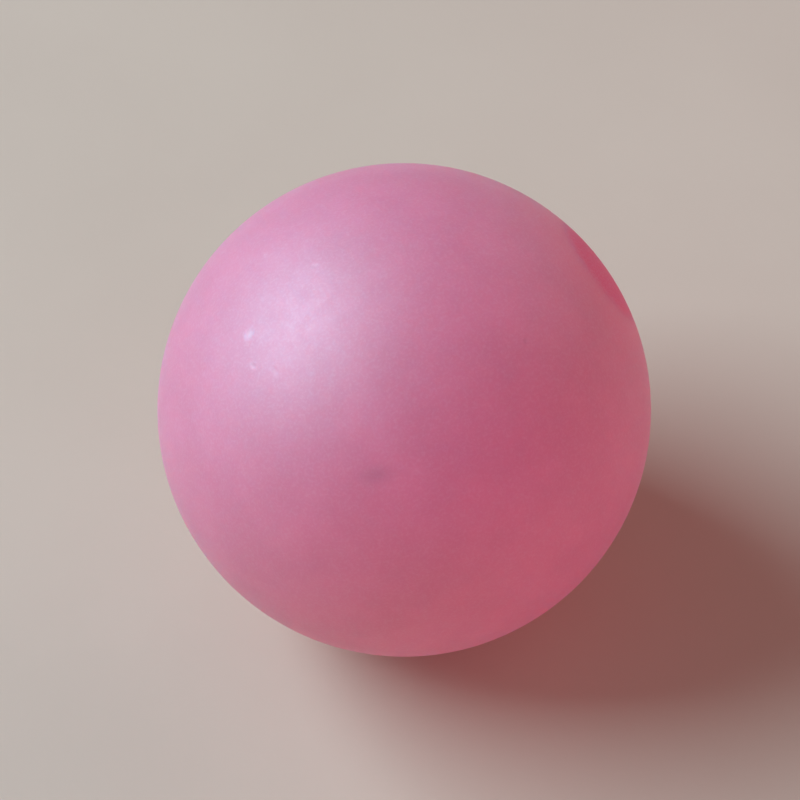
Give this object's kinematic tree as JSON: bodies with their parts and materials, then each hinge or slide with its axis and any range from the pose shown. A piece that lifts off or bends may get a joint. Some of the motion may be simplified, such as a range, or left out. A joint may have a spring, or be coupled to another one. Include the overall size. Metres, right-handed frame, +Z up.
{
  "type": "cue ball",
  "caption": "Satin pink cast-resin cue ball with a steel core and a round crimson spot set flush in its surface.",
  "frame": {"origin": "centre of the ball", "axes": "+Z up, as the ball lies on a table; +X level, towards the side where the spot is; the spot's axis lies in the XZ plane and rises 30 degrees above +X"},
  "size_m": [0.0572, 0.0572, 0.0572],
  "materials": {
    "pink_resin": "satin",
    "crimson_resin": "satin",
    "amber_resin": "satin",
    "polished_steel": "polished"
  },
  "bodies": {
    "root": {"resin_body": "pink_resin", "spot_plug": "crimson_resin", "core_stem": "amber_resin", "steel_core": "polished_steel"}
  },
  "joints": []
}
